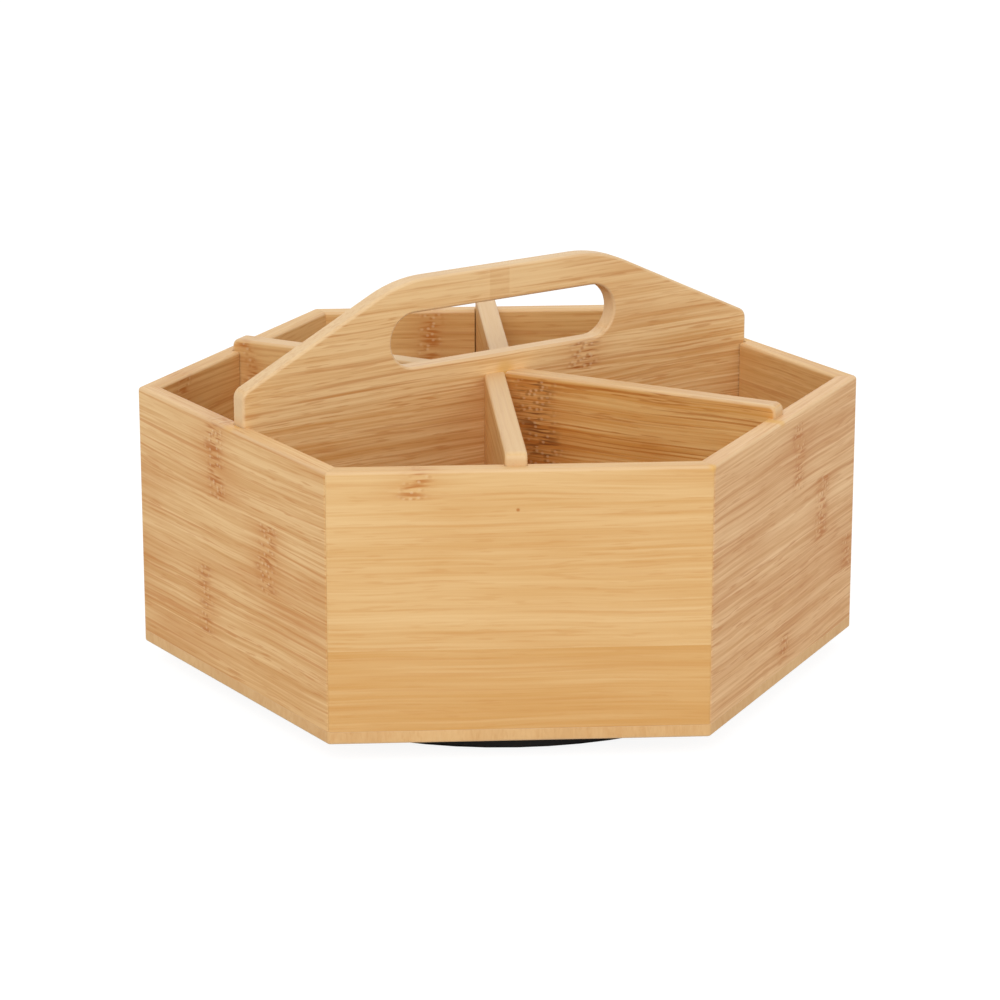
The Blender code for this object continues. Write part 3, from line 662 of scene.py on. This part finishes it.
for mask in (
    times(tint, given["Threads"], figure, 0.7),
    times(tint, step_up(tint, given["Patches"], 0.5, 0.72), 0.3, figure),
    times(tint, given["Nicks"], figure, spread),
    times(tint, given["Halo"], streaky, 0.65),
):
    wood = mix(tint, mask, wood, given["Warm"])
core = step_up(tint, given["Core"], 0.0, 0.9)
# Brown dashes of a ring, with the painted shadow beside each pale pore.
ring_dashes_and_shadows = times(tint, given["DashesAndPoreShadows"], core)
for mask, colour in (
    (times(tint, ring_dashes_and_shadows, 0.85), "Brown"),
    (times(tint, given["Dots"], core, 0.5), "Edge"),
    (times(tint, given["Spot"], 0.8), "Brown"),
    # Pale edge colour: sanded wear with a painted highlight on arrises, a painted highlight on upper faces, paler sawn
    # ends.
    (times(tint, given["Worn"], 0.62), "Edge"),
    (times(tint, given["Wiped"], 0.6), "Glue"),
):
    wood = mix(tint, mask, wood, given[colour])
rough = calc(tint, "MULTIPLY_ADD", centred(tint, given["Lines"]), 0.25, 0.46)
rough = calc(tint, "MULTIPLY_ADD", given["Core"], 0.06, rough)
relief = calc(tint, "MULTIPLY_ADD", ring_dashes_and_shadows, -0.4, times(tint, given["Lines"], figure))
send(tint, result, Color=wood, Roughness=rough, Height=relief)

# %% [markdown]
# Two more groups give masks. A soft mark is a pin hole or a wiped smear of glue, the same on both faces of a board.
# Edges are found by the way that the surface faces: along the grain at a sawn end, upwards at an upper edge. Upward
# faces are made paler as a painted highlight for the light from above, and an arris is paler for sanded wear with a
# painted highlight.

# %% Marks and edges
MARK_INPUTS = ("Along", "Height", "Radius")

mark, given, result = open_group("soft_mark", {"Vector": ["Board"], "Float": MARK_INPUTS}, {"Float": ["Mask"]})
middle = add_node(mark, "CombineXYZ", {0: given["Along"], 2: given["Height"]}).outputs[0]
face = stretched(mark, given["Board"], (1, 0, 1))
away = add_node(mark, "VectorMath", {0: face, 1: middle}, operation="DISTANCE").outputs["Value"]
send(mark, result, Mask=step_up(mark, away, given["Radius"], times(mark, given["Radius"], 0.25)))

edges, given, result = open_group(
    "board_edges", {"Vector": ["Facing"], "Float": ["Arris", "Top"]}, {"Float": ["Worn", "End"]},
)
facing = split(edges, given["Facing"])
sawn_end = step_up(edges, calc(edges, "ABSOLUTE", facing["X"]), 0.5, 0.9)
# Upper faces: a painted highlight, paler where the surface faces up.
upper = times(edges, step_up(edges, facing["Z"], 0.5, 0.9), given["Top"])
# Sanded wear and painted highlight on arrises, painted highlight on upper faces, paler sawn ends.
wear_and_highlight = calc(edges, "MAXIMUM", calc(edges, "MAXIMUM", given["Arris"], upper), sawn_end)
send(edges, result, Worn=wear_and_highlight, End=sawn_end)

# %% [markdown]
# A board's material reads Object coordinates, turned so that the first axis runs along the grain. Its strips are a
# table in a stepped colour ramp: for each strip, red is its tone, green the strength of its figure and blue the seed
# of its grain. So one ramp moves the whole pattern at every glue line.

# %% Material of one board
MM = 0.001
RELIEF = 0.00005
SOFT_LINE = 0.0008


def strip_table(tree, level, low, high, strips):
    """Tone, figure and seed of the strip at a level. A strip is (lower end in mm, the three in hundredths)."""
    share = add_node(tree, "MapRange", {"Value": level, "From Min": low, "From Max": high}).outputs[0]
    table = add_node(tree, "ValToRGB", {0: share})
    ramp = table.color_ramp
    ramp.interpolation = "CONSTANT"
    ramp.elements.remove(ramp.elements[1])
    for start, *shares in strips:
        share = (start * MM - low) / (high - low)
        stop = ramp.elements.new(share) if share > 0 else ramp.elements[0]
        stop.color = (*(value / 100 for value in shares), 1.0)
    return add_node(tree, "SeparateColor", {0: table.outputs[0]}).outputs


COLOURS = {"Pale": (236, 195, 134), "Deep": (213, 161, 94), "Warm": (204, 144, 82), "Brown": (186, 110, 42),
           "Edge": (231, 198, 154), "Glue": (230, 178, 92)}


def metres(row):
    """A row of a table with its lengths, the first four numbers, turned from millimetres into metres."""
    return (*(length * MM for length in row[:4]), *row[4:])


def groups_of(tree, group, labels, board, rows):
    """The group once for each row of a table, with the row's numbers for its inputs."""
    return [use_group(tree, group, dict(zip(("Board", *labels), (board, *metres(row))))) for row in rows]


def strongest(tree, marks, label):
    """The largest of several marks' masks, or nothing where there are no marks."""
    total = marks[0][label] if marks else 0.0
    for outputs in marks[1:]:
        total = calc(tree, "MAXIMUM", total, outputs[label])
    return total


def panel(tree, board, start, end, low, high, strength):
    """A mask with crisp edges for the part of a board from start to end and from low to high."""
    parts = split(tree, board)
    limits = (("X", start, start + SOFT_LINE), ("X", end, end - SOFT_LINE),
              ("Z", low, low + SOFT_LINE), ("Z", high, high - SOFT_LINE))
    sides = (step_up(tree, parts[axis], outside, inside) for axis, outside, inside in limits)
    return times(tree, strength, *sides)


def bamboo(name, degrees, strips, rings=(), spots=(), glue=(), darker=(), flat=False, top=1.0, **colours):
    """The material of one board: the way its grain runs, its strips, rings and marks, and its own colours.

    A ring is (along, low, high, width, strength), a spot or glue mark (along, height, radius), and a darker part of a
    strip (start, end, low, high, strength), with lengths in millimetres. top is how strong the painted highlight on the
    upper faces is.
    """
    material, tree, surface = new_material(name, IOR=1.48, Specular_IOR_Level=0.3)
    turn = (math.pi / 2, math.radians(degrees), 0) if flat else (0, 0, -math.radians(degrees))
    place = add_node(tree, "TexCoord").outputs
    squeeze = (1, 1, 0.3) if flat else (1, 1, 1)
    board = add_node(tree, "Mapping", {"Vector": place["Object"], "Rotation": turn, "Scale": squeeze}).outputs[0]
    low, high = (-0.15, 0.15) if flat else (BOARD_BOTTOM - 0.001, HANDLE_TOP + 0.001)
    tone, figure, seed = strip_table(tree, split(tree, board)["Z"], low, high, strips)
    rings = groups_of(tree, ring, RING_INPUTS, board, rings)
    spots, glue = (groups_of(tree, mark, MARK_INPUTS, board, rows) for rows in (spots, glue))
    # The arris attribute: sanded wear and a painted highlight.
    wear_and_highlight = add_node(tree, "Attribute", attribute_name="arris").outputs["Fac"]
    if not flat:
        facing = {"Vector": place["Normal"], "Rotation": turn}
        facing = add_node(tree, "Mapping", facing, vector_type="NORMAL").outputs[0]
        wear_and_highlight, sawn_end = use_group(tree, edges, {"Facing": facing, "Arris": wear_and_highlight, "Top": top})
        figure = times(tree, figure, calc(tree, "MULTIPLY_ADD", sawn_end, -0.75, 1.0))
    grain = use_group(tree, fibres, {"Board": board, "Seed": seed})
    signals = {label: grain[label] for label in SIGNALS} | {"Tone": tone, "Figure": figure, "Worn": wear_and_highlight}
    darker = [{"Halo": panel(tree, board, *metres(row))} for row in darker]
    signals |= {"Core": strongest(tree, rings, "Core"), "Halo": strongest(tree, [*rings, *darker], "Halo"),
                "Spot": strongest(tree, spots, "Mask"), "Wiped": strongest(tree, glue, "Mask")}
    signals |= {label: srgb(*colour) for label, colour in (COLOURS | colours).items()}
    finish = use_group(tree, tint, signals)
    dress(tree, surface, finish["Color"], finish["Roughness"], finish["Height"], RELIEF)
    return material


# %% [markdown]
# The three walls that face the camera follow the photograph: the front wall is quiet with a deeper strip at its foot,
# and the walls beside it have rings in steps, one strip lower each time. The others are laid out in the same manner.

# %% Boards and their strips
WALL_WOOD = {
    "front_left": (
        [(0, 84, 50, 11), (45, 34, 45, 27), (74.5, 38, 50, 63), (103.8, 36, 50, 42)],
        [(38.3, 104, 200, 8, 0.7)],
        {"Pale": (235, 196, 139), "Deep": (215, 162, 94), "Warm": (210, 152, 86), "spots": [(0.8, 100.1, 1)],
         "glue": [(-72.5, 115.5, 3)]},
    ),
    "left": (
        [(0, 50, 80, 17), (26.7, 52, 90, 57), (55.5, 45, 90, 31), (84.5, 50, 90, 83)],
        [(10, 84.5, 200, 9, 0.9), (-28.5, 55.5, 84.5, 9, 0.9), (21.2, 26.7, 55.5, 8, 0.7)],
        {"Pale": (240, 199, 141), "Deep": (213, 159, 95), "Warm": (204, 137, 70), "spots": [(6.3, 87.9, 0.9)],
         "glue": [(0, 118.8, 6.5)]},
    ),
    "front_right": (
        [(0, 50, 80, 71), (27.7, 50, 90, 23), (55.8, 55, 90, 47), (83, 52, 80, 91), (111.5, 45, 80, 35)],
        [(-12, 83, 111.5, 8, 0.75), (-37.3, 55.8, 83, 9, 0.8), (-65.2, 35.2, 51, 8, 0.7), (-1, 15, 27.7, 8, 0.75)],
        {"Pale": (241, 199, 146), "Deep": (213, 160, 104), "Warm": (200, 137, 78),
         "glue": [(72.5, 115.5, 3), (6, 116.8, 4)]},
    ),
    "right": (
        [(0, 40, 60, 15), (38, 55, 80, 55), (68, 45, 70, 75), (98, 50, 80, 5)],
        [(30, 38, 68, 6, 0.9)], {"glue": [(0, 115.8, 6)]},
    ),
    "back_right": (
        [(0, 50, 80, 65), (31, 40, 80, 95), (61, 50, 90, 25), (91, 45, 80, 45)],
        [(-23.1, 89, 200, 6, 0.9), (40, 31, 61, 6, 0.9)], {},
    ),
    "back_left": (
        [(0, 55, 70, 81), (42, 45, 80, 37), (72, 50, 90, 59), (102, 40, 80, 21)],
        [(15, 72, 102, 6, 0.9), (-45, 14, 42, 6, 0.9), (-50, 102, 200, 7, 0.8)], {},
    ),
}
for label, (strips, rings, extra) in WALL_WOOD.items():
    # Walls take a little under half the painted highlight on their upper faces.
    finish = bamboo(f"bamboo_{label}_wall", WALLS[label][0] - 90, strips, rings, top=0.45, **extra)
    walls[label].data.materials.append(finish)

BOARD_WOOD = {
    "handle_board": (
        [(0, 60, 90, 13), (25, 65, 90, 33), (55, 65, 90, 53), (85, 55, 90, 73), (113, 40, 100, 93),
         (128.9, 20, 80, 87), (149.9, 15, 70, 7)],
        [(38, 116, 128.9, 9, 1)],
        {"Pale": (243, 207, 152), "Deep": (213, 158, 91), "glue": [(0, 121.5, 6)], "Brown": (168, 92, 30),
         "darker": [(-7.6, 2.5, 149.9, 164.5, 0.5)]},
    ),
    "low_near": (
        [(0, 60, 80, 29), (34, 65, 80, 49), (64, 65, 90, 69), (91, 65, 100, 89)],
        [(18, 30, 119, 12, 0.85)],
        {"Pale": (239, 197, 130), "Deep": (215, 154, 78), "Warm": (188, 116, 46), "Brown": (128, 73, 30)},
    ),
    "low_far": (
        [(0, 50, 80, 34), (36, 42, 80, 52), (66, 50, 90, 16), (96, 25, 60, 66)],
        [(85, 66, 96, 6, 0.9), (113.5, 96, 200, 4, 0.8)], {},
    ),
    "high_near": (
        [(0, 40, 80, 19), (44, 50, 80, 39), (74, 42, 70, 99), (104, 45, 70, 79)],
        [(62, 44, 74, 6, 0.9)], {},
    ),
    "high_far": (
        [(0, 45, 80, 43), (29, 50, 80, 77), (59, 44, 70, 9), (89, 42, 70, 24)],
        [(50, 89, 119, 6, 0.8)], {},
    ),
}
# Pale colour for sawn ends and sanded arrises, and for the painted highlight on arrises and upper faces.
PALE_EDGE_AND_LIT_TOP = (226, 194, 152)
for label, (strips, rings, extra) in BOARD_WOOD.items():
    finish = bamboo(f"bamboo_{label}_board", board_turn[label], strips, rings, Edge=PALE_EDGE_AND_LIT_TOP, **extra)
    boards[label].data.materials.append(finish)

base_strips = [
    (-150, 50, 25, 3), (-120, 40, 25, 73), (-85, 55, 25, 43), (-49, 65, 25, 13), (-13, 50, 25, 83),
    (20, 45, 25, 53), (50, 60, 25, 23), (85, 50, 25, 93),
]
finish = bamboo("bamboo_bottom_board", 60, base_strips, flat=True, Pale=(233, 193, 137), Deep=(212, 164, 107))
base_piece.data.materials.append(finish)
print("bamboo materials", len(WALL_WOOD) + len(BOARD_WOOD) + 1)

# %% [markdown]
# ## Turntable
#
# Under the box runs a flat turntable: a round black plate on six rubber feet, a smaller one screwed under the
# box, and steel balls in a nylon cage between them. A rivet in the middle holds the two plates together. The plates
# are mouldings with ribs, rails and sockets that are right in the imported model, so they keep that shape: the loose
# triangles are joined at their shared corners, which lets the light run smoothly round them.

# %% Joined copies of the two plates
def joined_copy(node):
    """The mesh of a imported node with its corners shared: equal points become one, and the faces point to it."""
    source = bpy.data.objects[node].data
    points = np.empty(len(source.vertices) * 3, np.float32)
    source.vertices.foreach_get("co", points)
    corners = np.empty(len(source.loops), np.int32)
    source.loops.foreach_get("vertex_index", corners)
    unique, index = np.unique(np.round(points.reshape(-1, 3) * 1e7).astype(np.int64), axis=0, return_inverse=True)
    faces = index.ravel()[corners].reshape(-1, 3)
    return unique / 1e7, faces[(faces != np.roll(faces, 1, 1)).all(1)].tolist()


plates = {}
for label, node, body in (("lower", "turntable_base", "base"), ("upper", "turntable_top", "box")):
    points, faces = joined_copy(node)
    plates[label] = add_piece(f"{label}_plate", node, points, faces, body=body)
    print(label, "plate", len(points), "points", len(faces), "faces")

# %% [markdown]
# The small parts are turned shapes: half a cross-section is drawn and carried round an axis. A lathe, a die or a mould
# leaves every edge a little rounded, so the sections have rounded corners.

# %% Turned parts
def close_ends(points, faces, steps):
    """The first and the last row of a grid drawn together, each into one point, and the faces that are left."""
    keep = np.arange(len(points))
    keep[:steps], keep[-steps:] = 0, len(points) - steps
    used, renamed = np.unique(keep, return_inverse=True)
    closed = [list(dict.fromkeys(face)) for face in renamed.ravel()[faces].tolist()]
    return points[used], [face for face in closed if len(face) > 2]


def turned(radius, level, t):
    """The point (r, z) of a section, turned to the angle t round the axis, lies at (r cos t, r sin t, z)."""
    return np.stack((radius * np.cos(t), radius * np.sin(t), level + 0 * t), -1)


def carried_round(section, steps, place=(0, 0)):
    """A surface of revolution. The section runs counter-clockwise round the solid, with r to the right.

    Where the section starts and ends on the axis, its ends close into points. Elsewhere its last loop joins the first.
    """
    t = np.linspace(0, 2 * np.pi, steps, endpoint=False)
    points = turned(section[:, 0, None], section[:, 1, None], t).reshape(-1, 3) + (*place, 0)
    if section[0, 0] == 0:
        return close_ends(points, ring_faces(len(section), steps), steps)
    return points, (ring_faces(len(section) + 1, steps) % len(points)).tolist()


def section_of(corners):
    """A cross-section from corner rows (r, z, rounding)."""
    return rounded([(r, z, rounding, 0) for r, z, rounding in corners])[0]


FOOT_RADIUS, FOOT_HEIGHT = 0.006, 0.002
STEEL_STEPS = 48
foot_section = section_of([
    (0, 0.0002, 0), (0.0042, 0.0002, 0.0006), (0.0047, 0, 0.0003), (FOOT_RADIUS, 0, 0.0005),
    (FOOT_RADIUS, FOOT_HEIGHT, 0.0003), (0, FOOT_HEIGHT, 0),
])
feet, balls = [], []
for number in range(1, 7):
    low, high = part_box(f"foot_{number}")
    points, faces = carried_round(foot_section, STEEL_STEPS, ((low.x + high.x) / 2, (low.y + high.y) / 2))
    feet.append(add_piece(f"rubber_foot_{number}", f"foot_{number}", points, faces, body="base"))

BALL_STEPS = 24
for number in range(1, 19):
    node = f"ball_{number:02d}"
    low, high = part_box(node)
    radius, middle = (high.z - low.z) / 2, (low + high) / 2
    t = np.linspace(-np.pi / 2, np.pi / 2, BALL_STEPS // 2 + 1)
    section = np.stack((radius * np.cos(t), middle.z + radius * np.sin(t)), 1)
    section[[0, -1], 0] = 0
    points, faces = carried_round(section, BALL_STEPS, (middle.x, middle.y))
    balls.append(add_piece("steel_" + node, node, points, faces, body="cage"))
print("feet", len(feet), "balls", len(balls))

# %% [markdown]
# The rivet has a flat head below and a pressed crown above. The washer is a plain ring, whose section is closed away
# from the axis.

# %% Rivet and washer
RIVET_SHANK, CROWN_RADIUS, CROWN_HEIGHT = 0.003, 0.005, 0.0008
low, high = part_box("pivot_rivet")
head_radius, head_top = high.x, low.z + 0.0009
crown_bottom = high.z - CROWN_HEIGHT
rivet_section = section_of([
    (0, low.z + 0.0002, 0), (0.0018, low.z + 0.0002, 0.0004), (0.0028, low.z, 0.0006), (head_radius, low.z, 0.0004),
    (head_radius, head_top, 0.0002), (RIVET_SHANK, head_top, 0.0001), (RIVET_SHANK, crown_bottom, 0.0001),
    (CROWN_RADIUS, crown_bottom, 0.0001), (CROWN_RADIUS, high.z, 0.0004), (0, high.z, 0),
])
points, faces = carried_round(rivet_section, STEEL_STEPS)
rivet = add_piece("rivet", "pivot_rivet", points, faces)

low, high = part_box("pivot_washer")
washer_section = section_of([
    (0.0033, low.z, 0.0001), (high.x, low.z, 0.0001), (high.x, high.z, 0.0001), (0.0033, high.z, 0.0001),
])
points, faces = carried_round(washer_section, STEEL_STEPS)
washer = add_piece("nylon_washer", "pivot_washer", points, faces, body="base")
print("rivet and washer", len(rivet.data.vertices), len(washer.data.vertices))

# %% [markdown]
# The wood screws go up through the plate into the box, heads down. Each has a countersunk head with a cross recess
# and a threaded shank. Both are one grid that runs out from the middle of the head, over its edge and up the shank,
# so the recess and the thread are only offsets of that grid.

# %% Screws
HEAD_RADIUS, SCREW_RADIUS, SCREW_CORE, THREAD_PITCH = 0.003, 0.0015, 0.0011, 0.0011
RECESS_REACH, RECESS_HALF, RECESS_DEPTH, RECESS_BLUR = 0.0017, 0.00038, 0.0011, 0.00012
SCREW_TIP, THREAD_SLOPE, LIP = 0.0016, 2.6, 0.0001
HEAD_ROWS, SHANK_ROWS = 28, 60


def screw_surface(bottom, top, steps=64):
    """A countersunk screw, head down, in rows of equal angle.

    On the head's face, z is the depth of the recess: two crossed bars that get shallower away from the middle. On the
    shank, the radius is the core plus a ridge, which rises and falls once for each turn of z / pitch - t / 2 pi, and
    runs out to the point over the last millimetres.
    """
    t = np.linspace(0, 2 * np.pi, steps, endpoint=False)
    r = np.linspace(0, HEAD_RADIUS - LIP, HEAD_ROWS)[:, None]
    x, y = r * np.cos(t), r * np.sin(t)
    bars = [
        np.clip((RECESS_HALF - np.abs(across)) / RECESS_BLUR + 0.5, 0, 1)
        * np.clip(1 - np.abs(along) / RECESS_REACH, 0, 1) for across, along in ((x, y), (y, x))
    ]
    neck = bottom + HEAD_RADIUS - SCREW_RADIUS
    cone = np.array([(HEAD_RADIUS, bottom + LIP), (HEAD_RADIUS, bottom + 2 * LIP), (SCREW_RADIUS, neck)])
    z = np.linspace(neck + 2 * LIP, top, SHANK_ROWS)[:, None]
    phase = z / THREAD_PITCH - t / (2 * np.pi)
    ridge = np.clip(1 - THREAD_SLOPE * np.abs(phase - np.round(phase)), 0, 1)
    radius = (SCREW_CORE + (SCREW_RADIUS - SCREW_CORE) * ridge) * np.clip((top - z) / SCREW_TIP, 0, 1)
    return np.concatenate((
        turned(r, bottom + RECESS_DEPTH * np.maximum(*bars), t), turned(cone[:, :1], cone[:, 1:], t),
        turned(radius, z, t),
    ))


screws = []
for number in range(1, 7):
    low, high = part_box(f"screw_{number}")
    grid = screw_surface(low.z, high.z)
    rows, steps = grid.shape[:2]
    points = grid.reshape(-1, 3) + ((low.x + high.x) / 2, (low.y + high.y) / 2, 0)
    points, faces = close_ends(points, ring_faces(rows, steps), steps)
    screws.append(add_piece(f"wood_screw_{number}", f"screw_{number}", points, faces))
print("screws", len(screws), "points each", len(points))

# %% [markdown]
# ## Plastic, nylon, steel and rubber
#
# These finishes share a fine speck, which is the texture of the mould or the die, and slow clouds of handling and
# dust. One group gives both, and each material sets its own size of speck.

# %% Specks and clouds
skin, given, result = open_group(
    "fine_skin", {"Vector": ["Place"], "Float": ["Size"]}, {"Float": ["Speck", "Cloud"]},
)
scaled = add_node(skin, "VectorMath", {0: given["Place"], 3: given["Size"]}, operation="SCALE").outputs[0]
speck = grain_noise(skin, scaled, (1, 1, 1), 2, 0.6)
cloud = grain_noise(skin, given["Place"], (45, 45, 60), 3, 0.6)
send(skin, result, Speck=speck, Cloud=cloud)


def small_finish(name, dark, light, size, rough, relief, **settings):
    """A finish between two colours by cloud and speck, with its range of roughness and depth of relief."""
    material, tree, surface = new_material(name, **settings)
    place = add_node(tree, "TexCoord").outputs["Object"]
    marks = use_group(tree, skin, {"Place": place, "Size": size})
    level = calc(tree, "MULTIPLY_ADD", marks["Speck"], 0.4, times(tree, marks["Cloud"], 0.6))
    colour = mix(tree, step_up(tree, level, 0.35, 0.65), srgb(*dark), srgb(*light))
    dress(tree, surface, colour, step_up(tree, marks["Cloud"], 0.3, 0.7, *rough), marks["Speck"], relief)
    return material


FINISHES = (
    ("black_moulding", plates.values(), (12, 11, 11), (19, 18, 18), 1800, (0.42, 0.54), 0.00003,
     {"Specular_IOR_Level": 0.28}),
    ("natural_nylon", [washer], (214, 208, 190), (230, 225, 210), 900, (0.36, 0.46), 0.00002, {}),
    ("ground_steel", balls, (196, 198, 201), (214, 215, 218), 600, (0.1, 0.18), 0.000004, {"Metallic": 1.0}),
    ("zinc_plating", [*screws, rivet], (176, 178, 178), (206, 206, 200), 1300, (0.26, 0.4), 0.00001, {"Metallic": 1.0}),
    ("foot_rubber", feet, (38, 37, 37), (56, 55, 54), 1500, (0.68, 0.86), 0.00004, {}),
)
for name, pieces, *look, settings in FINISHES:
    finish = small_finish(name, *look, **settings)
    for piece in pieces:
        piece.data.materials.append(finish)
for slot in bpy.data.objects["ball_cage"].material_slots:
    slot.material = bpy.data.materials["natural_nylon"]
print("finishes", len(FINISHES))

# %% [markdown]
# Last, the dressed part is measured.

# %% Finish
low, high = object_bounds()
